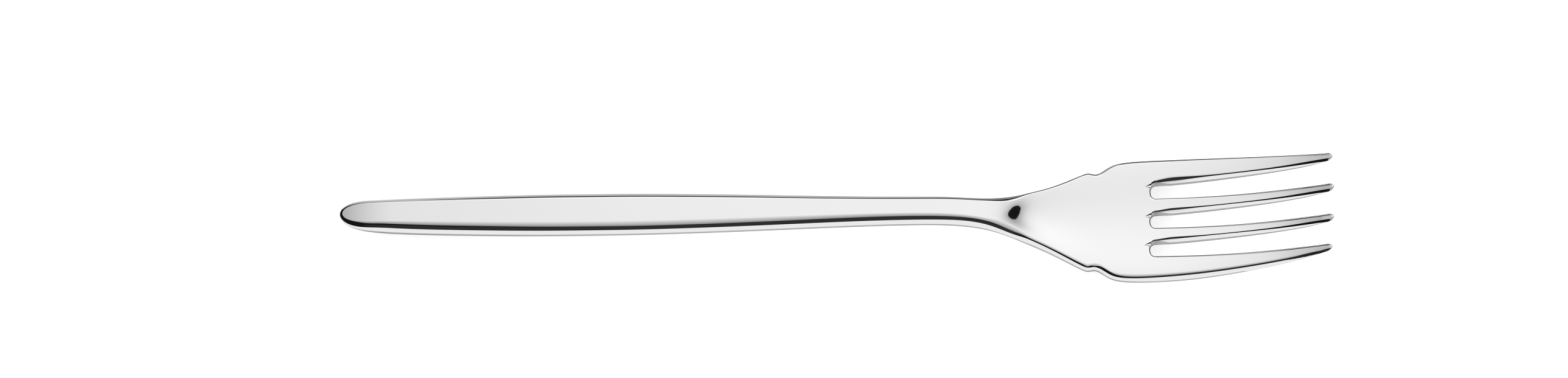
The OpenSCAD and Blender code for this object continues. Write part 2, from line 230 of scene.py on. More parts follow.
class ForkStage(bpy.types.PropertyGroup):
    """Camera and stage."""

    lens: FloatProperty(name="Lens", description="Focal length", default=350.0, subtype="DISTANCE_CAMERA")
    frame_width: length("Frame width", "Width of the picture where the fork lies", 292.5)
    elevation: angle("Elevation", "Height of the camera over the table", 65)
    azimuth: angle("Azimuth", "Turn of the camera round the fork", 2.3)
    roll: angle("Roll", "Turn of the picture", -1.61)
    table: share("Table", "Lightness of the table", 0.95)
    table_shade: share("Table shade", "Loss of its mirrored lightness behind the fork", 0.75)
    table_glow: share("Table glow", "White of the table that the camera sees besides its light", 0.55)
    fill: share("Fill", "Light of the surroundings on the table", 1.3)
    mirrored: share("Mirrored table", "Lightness of the table in the steel", 0.92)
    contact_shade: share("Contact shade", "Loss of that lightness close under the fork", 0.6)
    contact_reach: length("Contact reach", "Distance from the fork within which that shade lies", 2.5)
    softbox_height: length("Softbox height", "Height of the softbox over the table", 400)
    softbox_left: length("Softbox left", "Reach of the softbox towards the butt", 305)
    softbox_right: length("Softbox right", "Reach of the softbox towards the tips", 421)
    softbox_front: length("Softbox front", "Reach of the softbox towards the camera", 670)
    softbox_back: length("Softbox back", "Reach of the softbox away from the camera", 1250)
    softbox_middle: length("Softbox middle", "Distance behind the fork at which it is brightest", 500)
    softbox_axis: length("Softbox axis", "Distance of its middle from the fork's, towards the tips", 30)
    softbox_power: share("Softbox power", "Power of the way along the fork in the shape of its rim", 3)
    softbox_glow: share("Softbox glow", "Brightness of the softbox at its middle", 1.22)
    softbox_falloff: share("Softbox falloff", "Loss of brightness at the rim of the softbox", 0.8)
    back_card_left: length("Back card left", "Distance of the back card from the middle", 190)
    back_glow: share("Back glow", "Brightness of the back card", 0.55)
    wall_glow: share("Wall glow", "Brightness of the dark walls in front", 0.03)
    side_glow: share("Side glow", "Brightness of the dark walls at the sides", 0.008)


# Curves

def mix(a, b, t):
    """Place at the share t of the way from a to b."""
    return a + (b - a) * t


def smooth_curve(points, size=1.0):
    """Cubic spline drawn towards a list of points, as a fine line, with its values times a size.

    Every pass puts a point between each two neighbours and then averages neighbours twice.
    The end points are repeated, so that the curve starts and ends on them.
    """
    line = np.array([points[0]] * 2 + points + [points[-1]] * 2, float)
    for _ in range(CURVE_PASSES):
        finer = np.repeat(line, 2, axis=0)[:-1]
        finer[1::2] = (line[:-1] + line[1:]) / 2
        line = (finer[:-2] + 2 * finer[1:-1] + finer[2:]) / 4
    return line * (1, size)


def along(curve, u):
    """Value of a curve at the distance u from the butt."""
    return np.interp(u, curve[:, 0], curve[:, 1])


def fullness(q):
    """Rounded edge: 0 at the edge, 1 where the rounding ends, a quarter of a superellipse between."""
    rest = 1 - np.clip(q, 0, 1)
    return (1 - rest ** EDGE_POWER) ** (1 / EDGE_POWER)


def ease(q, start=0, end=1):
    """Soft step from 0 at the start to 1 at the end."""
    q = np.clip((q - start) / (end - start), 0, 1)
    return q * q * (3 - 2 * q)


class ForkShape:
    """The fork's form over u, the distance from the butt, and y, the place across, in metres."""

    def __init__(self, sizes):
        self.sizes = s = sizes
        waist = HANDLE_LEN + s.neck_waist_at
        notch = ROOT_AT - s.notch_back
        widest = s.handle_widest_at
        on_bar, on_head = partial(mix, widest, waist), partial(mix, waist, notch)
        on_neck, on_palm = partial(mix, waist, PALM_AT), partial(mix, PALM_AT, notch)
        to_roots, on_tine = partial(mix, notch, ROOT_AT), partial(mix, ROOT_AT, FORK_LEN)
        butt, handle, neck = s.butt_width / 2, s.handle_width / 2, s.neck_width / 2
        spur, palm, tip = s.spur_width / 2, s.palm_width / 2, s.tip_span / 2
        self.outline = smooth_curve([
            [0, butt], [0.25 * widest, mix(butt, handle, 0.58)], [0.5 * widest, mix(butt, handle, 0.8)],
            [0.78 * widest, handle], [widest, handle], [on_bar(0.15), handle],
            [on_bar(0.42), mix(handle, neck, 0.3)], [on_bar(0.7), mix(handle, neck, 0.8)],
            [on_bar(0.88), neck], [waist, neck], [on_head(0.27), mix(neck, spur, 0.01)],
            [on_head(0.47), mix(neck, spur, 0.21)], [on_head(0.69), mix(neck, spur, 0.49)],
            [on_head(0.89), mix(neck, spur, 0.88)], [on_head(0.956), spur], [notch, spur - s.notch_depth],
            [to_roots(0.12), mix(spur, palm, 0.07)], [to_roots(0.27), mix(spur, palm, 0.7)],
            [to_roots(0.52), mix(spur, palm, 0.95)], [ROOT_AT, palm], [on_tine(0.23), mix(palm, tip, 0.06)],
            [on_tine(0.47), mix(palm, tip, 0.27)], [on_tine(0.75), mix(palm, tip, 0.58)], [FORK_LEN, tip],
        ])
        handle, neck, palm, tip = s.handle_thick / 2, s.neck_thick / 2, s.palm_thick / 2, s.tip_thick / 2
        self.thickness = smooth_curve([
            [0, s.butt_thick / 2], [s.butt_round, mix(s.butt_thick / 2, handle, 0.7)],
            [3 * s.butt_round, handle], [widest, handle], [HANDLE_LEN - s.neck_waist_at, handle],
            [HANDLE_LEN, mix(handle, neck, 0.4)], [waist, neck], [on_neck(0.55), mix(neck, palm, 0.35)],
            [on_palm(0.14), mix(neck, palm, 0.84)], [on_palm(0.7), palm], [ROOT_AT, palm],
            [on_tine(0.28), mix(palm, tip, 0.08)], [on_tine(0.6), mix(palm, tip, 0.4)],
            [on_tine(0.85), mix(palm, tip, 0.75)], [FORK_LEN, tip],
        ])
        rise, tip_rise = s.neck_rise, s.tip_rise
        self.spine = smooth_curve([
            [0, 0], [0.14 * HANDLE_LEN, 0.02 * rise], [0.58 * HANDLE_LEN, 0.45 * rise],
            [HANDLE_LEN, 0.92 * rise], [waist, rise], [on_neck(0.38), 0.88 * rise],
            [on_neck(0.77), 0.66 * rise], [on_palm(0.14), 0.33 * rise], [on_palm(0.55), 0.1 * rise],
            [notch, -0.04 * rise], [to_roots(0.55), 0.03 * tip_rise], [on_tine(0.12), 0.145 * tip_rise],
            [on_tine(0.42), 0.36 * tip_rise], [on_tine(0.73), 0.65 * tip_rise], [FORK_LEN, tip_rise],
        ])
        self.dish = smooth_curve([
            [0, 0], [waist, 0], [on_neck(0.7), 0], [on_neck(0.88), 0.08], [on_palm(0.08), 0.6],
            [on_palm(0.4), 0.9], [on_palm(0.85), 1], [ROOT_AT, 1], [on_tine(0.7), 0.9], [FORK_LEN, 0.6],
        ], s.dish_depth)
        neck, palm = s.neck_width / 2, s.palm_width / 2
        self.scoop = smooth_curve([
            [0, neck], [waist, neck], [PALM_AT, mix(neck, palm, 0.05)],
            [on_palm(0.5), mix(neck, palm, 0.5)], [notch, mix(neck, palm, 0.9)], [ROOT_AT, palm],
            [FORK_LEN, palm],
        ])
        self.scoop_middle = smooth_curve([
            [0, s.dish_shift], [on_palm(0.15), s.dish_shift], [on_palm(0.5), 0], [FORK_LEN, 0],
        ])
        bar_edge, palm_edge = s.handle_edge, s.palm_edge
        self.edge_run = smooth_curve([
            [0, s.butt_edge], [0.1 * s.butt_round, s.butt_edge],
            [0.5 * s.butt_round, mix(s.butt_edge, bar_edge, 0.4)],
            [1.3 * s.butt_round, mix(s.butt_edge, bar_edge, 0.75)], [3 * s.butt_round, bar_edge],
            [widest, bar_edge], [HANDLE_LEN, bar_edge], [waist, 0.9 * bar_edge],
            [on_neck(0.6), 0.75 * bar_edge], [on_neck(0.92), 1.15 * bar_edge],
            [on_palm(0.12), 0.8 * palm_edge], [on_palm(0.3), 0.8 * palm_edge],
            [on_palm(0.75), 0.8 * palm_edge], [ROOT_AT, palm_edge], [FORK_LEN, s.tip_edge],
        ])
        self.outer_bevel = smooth_curve([
            [0, 0], [on_tine(0.3), 0.1], [on_tine(0.5), 0.5], [on_tine(0.7), 0.85], [on_tine(0.85), 1],
            [FORK_LEN, 0.9],
        ], s.outer_edge)
        self.draft = smooth_curve([
            [0, 0], [HANDLE_LEN, 0], [waist, 0.1], [on_neck(0.7), 0.6], [on_palm(0.2), 0.6],
            [on_palm(0.7), 0.2], [notch, 0.1], [to_roots(0.6), 0.15], [on_tine(0.03), 0.7],
            [on_tine(0.22), 1], [on_tine(0.6), 0.9], [on_tine(0.82), 0.3], [on_tine(0.9), 0], [FORK_LEN, 0],
        ], s.tine_draft)
        self.far_run = smooth_curve([
            [0, 0.5], [ROOT_AT, 0.5], [on_tine(0.1), 0.6], [on_tine(0.5), 1], [on_tine(0.8), 0.7],
            [FORK_LEN, 0.6],
        ], s.far_edge)
        self.near_run = smooth_curve([
            [0, 0.6 * s.near_edge], [ROOT_AT, 0.6 * s.near_edge], [on_tine(0.1), s.near_edge],
            [on_tine(0.36), s.near_edge], [on_tine(0.55), mix(s.near_edge, s.nose_edge, 0.15)],
            [on_tine(0.72), mix(s.near_edge, s.nose_edge, 0.45)], [on_tine(0.88), s.nose_edge],
            [FORK_LEN, s.nose_edge],
        ])
        self.root_run = smooth_curve([
            [0, 0], [ROOT_AT - 0.5 * s.slot_round, 0], [ROOT_AT, 0.6], [on_tine(0.06), 1],
            [on_tine(0.12), 1], [on_tine(0.22), 0.4], [on_tine(0.34), 0], [FORK_LEN, 0],
        ], s.root_edge)
        # The table touches the lowest place on the middle line of the underside
        rest_line = np.linspace(s.butt_round / 2, ROOT_AT - 2 * s.slot_round, REST_PLACES)
        self.table = self.heights(rest_line, np.zeros_like(rest_line), 0)[1].min()

    def thinning(self, u, tine):
        """Share of the thickness left near the butt or a tip, which falls by the square of the way in."""
        s = self.sizes
        way = (tip_at(tine) - u) / s.tip_nose if tine else u / s.butt_nose
        left = s.tip_nose_thick if tine else s.butt_nose_thick
        return 1 - (1 - left) * np.maximum(1 - way, 0) ** 2

    def body(self, u, y, tine):
        """Height of the mid-plane and half thickness.

        The tips are thinned from below, and the butt mostly so.
        """
        full = along(self.thickness, u)
        half = full * self.thinning(u, tine)
        lift = 1 if tine else self.sizes.butt_lift
        return self.mid_height(u, y) + lift * (full - half), half

    def squared_width(self, u):
        """Square of the half width: the outline's, times that of the round end at the butt."""
        into_butt = np.maximum(1 - u / (BUTT_REACH * self.sizes.butt_round), 0)
        return along(self.outline, u) ** 2 * (1 - ((1 - END_FLAT) * into_butt) ** BUTT_POWER)

    def half_width(self, u):
        """Half width: the root of its square."""
        return np.sqrt(np.maximum(self.squared_width(u), 0))

    def slot_middle(self, u, slot):
        """Middle of slot 1, 2 or 3, counted from the -Y side, spreading evenly from root to tip."""
        return (slot - TINES / 2) * mix(self.sizes.slot_pitch, self.sizes.slot_tip_pitch, along_tines(u))

    def slot_half(self, u):
        """Half width of a slot: it opens by a quarter of a sine from root to tip, and by the tips' taper."""
        s = self.sizes
        way = along_tines(u)
        taper = s.tip_taper * (np.maximum(way - TAPER_START, 0) / (1 - TAPER_START)) ** 2
        return mix(s.slot_width, s.slot_tip_width, np.sin(np.pi / 2 * way)) / 2 + taper

    def tine_low(self, u, tine):
        """Edge of a tine on the -Y side."""
        return -self.half_width(u) if tine == 1 else self.slot_middle(u, tine - 1) + self.slot_half(u)

    def tine_high(self, u, tine):
        """Edge of a tine on the +Y side."""
        return self.half_width(u) if tine == TINES else self.slot_middle(u, tine) - self.slot_half(u)

    def width_slope(self, u):
        """Half the slope of the squared half width."""
        step = OUTLINE_STEP
        return (self.squared_width(u + step) - self.squared_width(u - step)) / (4 * step)

    def outline_gap(self, u, y):
        """Distance to the outline: the squared half width less the squared y, over twice its slope."""
        slope = np.sqrt(self.width_slope(u) ** 2 + y ** 2 + OUTLINE_STEP ** 2)
        return (self.squared_width(u) - y ** 2) / (2 * slope)

    def edge_start(self, u):
        """Place across where the outer edge's rounding starts: the formula of the distance, solved for y."""
        squared, run = self.squared_width(u), along(self.edge_run, u)
        start = squared + 2 * run ** 2 - 2 * run * np.sqrt(squared + run ** 2 + self.width_slope(u) ** 2)
        return np.sqrt(np.maximum(start, (BAR_FLAT * self.half_width(u)) ** 2))

    def near_bevel(self, u, slot):
        """Run of the bevel on a slot's +Y side, which swells past the root and again towards the tip."""
        more = 1 + self.sizes.root_spread * max(slot - TINES / 2, 0)
        return along(self.near_run, u) + more * along(self.root_run, u)

    def past_root(self, u):
        """Share of the way past the roots, 0 to 1, in which the tines' sides start."""
        return ease(u, ROOT_AT, ROOT_AT + self.sizes.flank_start)

    def near_side(self, u, depth, bevel):
        """Run of the steep side below a bevel, down to a depth. There is none at the root."""
        return self.past_root(u) * np.maximum(depth - BEVEL * bevel, 0) / STEEP

    def flank_depth(self, half):
        """Depth of the near sides along the slots."""
        return (1 + self.sizes.flank_draft) * half

    def outer_drop(self, u, depth, gap):
        """Drop of the bevelled outer edge of the first tine, which starts softly on the way to the tip."""
        start = ease(along_tines(u), OUTER_START, OUTER_FULL)
        return start * self.near_drop(u, depth, along(self.outer_bevel, u), gap)

    def near_drop(self, u, depth, bevel, gap):
        """Drop of a near edge below the top face: the bevel's, then the steep side's down to the edge."""
        side = self.near_side(u, depth, bevel)
        return np.maximum(BEVEL * np.maximum(bevel + side - gap, 0), STEEP * (side - gap) + BEVEL * bevel)

    def slot_edges(self, u, y, slot):
        """Distance to a slot, the rounding of its upper edge and the share that is near edge.

        The slot's end is half a superellipse. Its upper edge is rounded on the far side and bevelled on the
        near side.
        """
        s, power = self.sizes, SLOT_POWER
        half = self.slot_half(u)
        side = (y - self.slot_middle(u, slot)) / half
        into_palm = np.maximum(ROOT_AT - u, 0) / s.slot_round
        size = np.maximum((into_palm ** power + np.abs(side) ** power) ** (1 / power), CLOSED)
        slope_back = (into_palm / size) ** (power - 1) / s.slot_round
        slope_side = (np.abs(side) / size) ** (power - 1) / half
        near, far = self.near_bevel(u, slot), along(self.far_run, u)
        upper = mix(s.end_edge, np.where(side > 0, near, far), ease(np.abs(side)))
        return (size - 1) / np.hypot(slope_back, slope_side), upper, ease(side)

    def tip_edges(self, u, y, tine):
        """Distance to a tine's tip, which is half an ellipse in plan, its upper rounding and near share."""
        s = self.sizes
        low, high = self.tine_low(u, tine), self.tine_high(u, tine)
        half = (high - low) / 2
        into_tip = (1 - END_FLAT) * np.maximum(1 - (tip_at(tine) - u) / s.tip_round, 0)
        side = (y - (low + high) / 2) / half
        size = np.maximum(np.hypot(into_tip, side), CLOSED)
        gap = (1 - size) * size / np.maximum(np.hypot(into_tip / s.tip_round, side / half), CLOSED)
        near = s.tip_edge if tine == 1 else self.near_bevel(u, tine - 1)
        far = s.tip_edge if tine == TINES else along(self.far_run, u)
        upper = mix(s.end_edge, np.where(side > 0, far, near), ease(np.abs(side)))
        return np.where(into_tip > 0, gap, 1.0), upper, ease(-side) * (tine > 1)

    def inner_edges(self, u, y, tine):
        """Distance, rounding and near share of every slot, and of the tip if a tine is meant."""
        edges = [self.slot_edges(u, y, slot) for slot in range(1, TINES)]
        return edges + [self.tip_edges(u, y, tine)] if tine else edges

    def ear_cut(self, u, y):
        """Depth cut by the pointed grooves in which the slots' near edges run out into the palm.

        A groove widens and deepens evenly from its point to the slot and fades out past the root. Its near
        side is a long slope, its bottom is flat and its far side is steep.
        """
        s = self.sizes
        start = ROOT_AT - s.slot_round - s.ear_len
        past = np.clip((u - start) / s.ear_len, CLOSED, 1)
        fade = np.clip((ROOT_AT + s.slot_round - u) / s.slot_round, 0, 1)
        line = mix(EAR_POINT, EAR_MOUTH, past)
        cut = np.zeros_like(y)
        for slot in range(1, TINES):
            off = (y - self.slot_middle(u, slot) - self.slot_half(u) * line) / (s.ear_width / 2 * past)
            sides = np.clip(np.minimum(1 + off, (1 - off) / EAR_FAR_SIDE), 0, 1)
            cut = np.maximum(cut, s.ear_depth * np.minimum(past, fade) * sides)
        return cut

    def mid_height(self, u, y):
        """Mid-plane: the spine, less a dish that starts as a narrow scoop.

        Across the fork the dish is a bell: the square of 1 less the squared share of its half width.
        """
        across = np.minimum(((y - along(self.scoop_middle, u)) / along(self.scoop, u)) ** 2, 1)
        deep = along(self.dish, u - self.sizes.dish_skew * y)
        return along(self.spine, u) - deep * (1 - across) ** 2

    def heights(self, u, y, tine):
        """Top face and underside: the mid-plane, plus and less the half thickness times the edges' fullness.

        The outer edge lies low by the draft, so its fullness starts there instead of on the mid-plane. The
        ears and the near edges' bevels are cut from the top face.
        """
        (mid, half), low = self.body(u, y, tine), along(self.draft, u)
        gap, run = self.outline_gap(u, y), along(self.edge_run, u)
        top = np.minimum((1 + low) * fullness(gap / run) - low, 1 - self.ear_cut(u, y) / half)
        under = low + (1 - low) * fullness(gap / (run * (1 - DRAFT_TUCK * low)))
        if tine == 1:
            top = np.minimum(top, 1 - self.outer_drop(u, (1 + low) * half, gap) / half)
        for gap, upper, near in self.inner_edges(u, y, tine):
            deep, lower = self.edge_depths(u, half, upper, near)
            rounded = deep * (1 - fullness(gap / upper))
            bevelled = self.near_drop(u, self.flank_depth(half), upper, gap) / half
            top = np.minimum(top, 1 - mix(rounded, bevelled, near))
            under = np.minimum(under, 1 - lower * (1 - fullness(gap / self.sizes.low_edge)))
        return mid + half * top, mid - half * under

    def edge_depths(self, u, half, upper, near):
        """Depths of an inner edge's upper and lower rounding, as shares of the half thickness.

        Round edges are as deep as they are wide. The lower ones are deeper at the slots' ends and leave room
        for a near edge, which reaches down past the mid-plane by its draft.
        """
        s = self.sizes
        lower = np.minimum(s.low_edge / half, 1 - s.flank_draft * near)
        return np.minimum(upper / half, 1), mix(s.root_under, lower, self.past_root(u))

    def field(self, u, y, z, tine):
        """Superellipse of height and edge distance: 1 on the surface, less inside and more outside."""
        (mid, half), low = self.body(u, y, tine), along(self.draft, u)
        height = (z - mid) / half
        above = height > -low
        climb = np.where(above, (height + low) / (1 + low), (-height - low) / (1 - low))
        run = along(self.edge_run, u) * np.where(above, 1, 1 - DRAFT_TUCK * low)
        gap = self.outline_gap(u, y)
        rest = np.maximum(1 - gap / run, 0)
        field = np.maximum(climb ** EDGE_POWER + rest ** EDGE_POWER, height + self.ear_cut(u, y) / half)
        if tine == 1:
            field = np.maximum(field, above * (height + self.outer_drop(u, (1 + low) * half, gap) / half))
        for gap, upper, near in self.inner_edges(u, y, tine):
            deep, lower = self.edge_depths(u, half, upper, near)
            above = height > -self.sizes.flank_draft * near
            climb = np.where(above, (height - 1) / deep, (-height - 1) / lower) + 1
            rest = 1 - gap / np.where(above, upper, self.sizes.low_edge)
            edge = np.maximum(climb, 0) ** EDGE_POWER + np.maximum(rest, 0) ** EDGE_POWER
            bevelled = np.maximum(height + self.near_drop(u, self.flank_depth(half), upper, gap) / half, rest)
            field = np.maximum(field, mix(edge, bevelled, near * above))
        return field

    def normals(self, u, y, z, tine):
        """Unit normals: the slope of the field, by differences over a small step each way."""
        step = SURFACE_STEP
        slope = np.stack([
            self.field(u + step, y, z, tine) - self.field(u - step, y, z, tine),
            self.field(u, y + step, z, tine) - self.field(u, y - step, z, tine),
            self.field(u, y, z + step, tine) - self.field(u, y, z - step, tine),
        ], axis=-1)
        return slope / np.linalg.norm(slope, axis=-1, keepdims=True)


def tip_at(tine):
    """Distance of a tine's tip from the butt."""
    return OUTER_TIP_AT if tine in (1, TINES) else FORK_LEN


def along_tines(u):
    """Share of the way from the slots' roots to the tips, 0 before the roots."""
    return np.maximum(u - ROOT_AT, 0) / (FORK_LEN - ROOT_AT)


# Meshes

def grid_triangles(index):
    """Two triangles for each cell of a grid of vertex numbers, turned to face up if rows run along +X."""
    a, b, c, d = index[:-1, :-1], index[1:, :-1], index[1:, 1:], index[:-1, 1:]
    return np.concatenate([np.stack([a, b, c], -1).reshape(-1, 3), np.stack([a, c, d], -1).reshape(-1, 3)])


def new_mesh(name, points, triangles, normals=None):
    """Object at the origin with these points and triangles and, if given, a normal for each corner."""
    mesh = bpy.data.meshes.new(name)
    mesh.vertices.add(len(points))
    mesh.vertices.foreach_set("co", np.ascontiguousarray(points, np.float32).ravel())
    mesh.loops.add(triangles.size)
    mesh.loops.foreach_set("vertex_index", triangles.astype(np.int32).ravel())
    mesh.polygons.add(len(triangles))
    mesh.polygons.foreach_set("loop_start", np.arange(0, triangles.size, 3, dtype=np.int32))
    mesh.update(calc_edges=True)
    mesh.shade_smooth()
    if normals is not None:
        mesh.normals_split_custom_set(normals.reshape(-1, 3).tolist())
    obj = bpy.data.objects.new(name, mesh)
    bpy.context.scene.collection.objects.link(obj)
    return obj


def polished_piece(node, shape, u, y, material, tine=0):
    """Closed piece over a grid of places in plan, which stands for a solid.

    Top face and underside come from the fork's heights. Upright walls join them along the edges, where
    they don't meet, and flat faces close the piece where it is cut from its neighbours.
    """
    tops, lows = shape.heights(u, y, tine)
    count = u.size
    top = np.arange(count).reshape(u.shape)
    low = np.where(tops - lows < CLOSED, top, top + count)
    sheets = np.concatenate([
        grid_triangles(top),
        grid_triangles(low[:, ::-1]),
        grid_triangles(np.stack([low[:, 0], top[:, 0]], 1)),
        grid_triangles(np.stack([top[:, -1], low[:, -1]], 1)),
    ])
    first = grid_triangles(np.stack([low[0], top[0]]))
    last = grid_triangles(np.stack([top[-1], low[-1]]))
    triangles = np.concatenate([sheets, first, last])

    points = np.stack([np.tile(u.ravel(), 2), np.tile(y.ravel(), 2), np.concatenate([tops, lows], None)], -1)
    rounded_normals = shape.normals(points[:, 0], points[:, 1], points[:, 2], tine)
    corners = rounded_normals[triangles]
    # Strip along the lower edges, which the material makes rougher and darkens with painted shade
    strip = ease(corners[..., 2], *STRIP_LOW)
    faces_up = slice(len(grid_triangles(top)))
    strip[faces_up] = ease(corners[faces_up, :, 2], *STRIP_TOP)
    corners[len(sheets):len(sheets) + len(first)] = (-1, 0, 0)
    at_cut = u[-1] > u[-1].max() - CLOSED
    flat = np.tile(at_cut[:-1] & at_cut[1:], 2)
    corners[len(sheets) + len(first):][flat] = (1, 0, 0)

    a, b, c = triangles.T
    whole = (a != b) & (b != c) & (c != a)
    used, triangles = np.unique(triangles[whole], return_inverse=True)
    places = points[used] + np.array([BUTT_X, 0, -shape.table])
    obj = new_mesh("polished_" + node, places, triangles.reshape(-1, 3), corners[whole])
    values = obj.data.attributes.new(STRIP, "FLOAT", "CORNER").data
    values.foreach_set("value", strip[whole].astype(np.float32).ravel())
    obj.data.materials.append(material)
    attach(obj, "root")
    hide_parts(node)


def cosine_shares(cells):
    """Shares from 0 to 1, closer together towards both ends, as the cosine spaces them."""
    return (1 - np.cos(np.linspace(0, np.pi, cells + 1))) / 2


def turn_shares(cells):
    """Shares of a rounding from its start, 0, to the edge, 1, which turn round it in even steps."""
    return np.sin(np.linspace(0, np.pi / 2, cells + 1))


def bar_grid(shape, stations, cells=16, edge_cells=24):
    """Places across the whole width of the handle or the neck, with columns along the edges' roundings."""
    u = stations[:, None]
    start = shape.edge_start(u)
    flat = start * np.linspace(0, 1, cells + 1)[:-1]
    side = np.concatenate([flat, mix(start, shape.half_width(u), turn_shares(edge_cells))], axis=1)
    y = np.concatenate([-side[:, :0:-1], side], axis=1)
    return np.broadcast_to(u, y.shape), y


def handle_grid(shape, rows=420, end_rows=60):
    """Places over the handle, with rows that close up on the round end of the butt."""
    butt = shape.sizes.butt_round
    rounded = butt * np.linspace(0, 1, end_rows + 1) ** 2
    straight = np.linspace(butt, HANDLE_LEN, rows + 1)
    return bar_grid(shape, np.concatenate([rounded, straight[1:]]))


def neck_grid(shape, rows=160):
    """Places over the neck."""
    return bar_grid(shape, np.linspace(HANDLE_LEN, PALM_AT, rows + 1))


def palm_grid(shape, rows=180, closeness=1.6, land_cells=20, slot_cells=48, edge_cells=14):
    """Places over the palm: columns end on the lands of the tines and on the slots' round ends.

    The outermost columns follow the roundings of the outer edges and the others share the space between.
    """
    start, edge = shape.edge_start(ROOT_AT), shape.half_width(ROOT_AT)
    turns = np.linspace(-np.pi / 2, np.pi / 2, slot_cells + 1)[1:-1]
    back_share = np.cos(turns) ** (2 / SLOT_POWER)
    side_share = np.sign(turns) * np.abs(np.sin(turns)) ** (2 / SLOT_POWER)
    rounding = mix(start, edge, turn_shares(edge_cells))[1:]
    ends = [np.stack([np.full_like(rounding, ROOT_AT), -rounding[::-1]], -1)]
    for tine in range(1, TINES + 1):
        low = max(shape.tine_low(ROOT_AT, tine), -start)
        high = min(shape.tine_high(ROOT_AT, tine), start)
        across = mix(low, high, cosine_shares(land_cells))
        ends.append(np.stack([np.full_like(across, ROOT_AT), across], -1))
        if tine < TINES:
            back = ROOT_AT - shape.sizes.slot_round * back_share
            across = shape.slot_middle(ROOT_AT, tine) + shape.slot_half(ROOT_AT) * side_share
            ends.append(np.stack([back, across], -1))
    ends.append(np.stack([np.full_like(rounding, ROOT_AT), rounding], -1))
    end_u, end_y = np.concatenate(ends).T
    back_from_end = np.linspace(1, 0, rows + 1)[:, None] ** closeness
    u = mix(end_u, PALM_AT, back_from_end)
    inner = end_y / start * shape.edge_start(u)
    past_start = (np.abs(end_y) - start) / (edge - start)
    outer = np.sign(end_y) * mix(shape.edge_start(u), shape.half_width(u), past_start)
    return u, np.where(np.abs(end_y) > start, outer, inner)


def tine_grid(shape, tine, rows=200, tip_rows=40, cells=12, edge_cells=18):
    """Places over one tine, with columns along its edges' roundings and creases, narrowing to its tip."""
    tip = tip_at(tine)
    rounding = shape.sizes.tip_round
    straight = np.linspace(ROOT_AT, tip - rounding, rows + 1)
    rounded = mix(tip - rounding, tip, turn_shares(tip_rows))
    u = np.concatenate([straight, rounded[1:]])[:, None]
    low, high = shape.tine_low(u, tine), shape.tine_high(u, tine)
    outer = shape.half_width(u) - shape.edge_start(u)
    if tine == 1:
        near = outer
        near_shares = 1 - turn_shares(edge_cells)[::-1]
    else:
        bevel = shape.near_bevel(u, tine - 1)
        side = shape.near_side(u, shape.flank_depth(shape.body(u, low, tine)[1]), bevel)
        near = side + bevel
        crease = np.maximum(side / near, LEAST_SIDE)
        steps = np.linspace(0, 1, edge_cells // 2 + 1)
        near_shares = np.concatenate([crease * steps[:-1], mix(crease, 1, steps)], axis=1)
    far = outer if tine == TINES else along(shape.far_run, u)
    room = np.minimum(TINE_ROUND * (high - low) / (near + far), 1)
    start, end = low + near * room, high - far * room
    y = np.concatenate([
        mix(low, start, near_shares),
        mix(start, end, np.linspace(0, 1, cells + 1)[1:-1]),
        mix(end, high, turn_shares(edge_cells)),
    ], axis=1)
    into_tip = (1 - END_FLAT) * np.maximum(1 - (tip - u) / rounding, 0)
    y = mix((low + high) / 2, y, np.sqrt(1 - into_tip ** 2))
    return np.broadcast_to(u, y.shape), y


# Materials

class Value:
    """Output socket of a node on which Python's operators add Math nodes."""

    def __init__(self, tree, socket):
        self.tree = tree
        self.socket = socket

    def math(self, operation, other):
        """Math node of this value and another."""
        return self.tree.node("ShaderNodeMath", {"operation": operation}, {0: self, 1: other})

    def reflected(self, operation, other):
        """Math node of another value and this one."""
        return self.tree.node("ShaderNodeMath", {"operation": operation}, {0: other, 1: self})

    __add__, __radd__ = partialmethod(math, "ADD"), partialmethod(reflected, "ADD")
    __sub__, __rsub__ = partialmethod(math, "SUBTRACT"), partialmethod(reflected, "SUBTRACT")
    __mul__, __rmul__ = partialmethod(math, "MULTIPLY"), partialmethod(reflected, "MULTIPLY")
    __truediv__, __rtruediv__ = partialmethod(math, "DIVIDE"), partialmethod(reflected, "DIVIDE")
    __pow__, __rpow__ = partialmethod(math, "POWER"), partialmethod(reflected, "POWER")
    __lt__, __gt__ = partialmethod(math, "LESS_THAN"), partialmethod(math, "GREATER_THAN")
    at_least = partialmethod(math, "MAXIMUM")


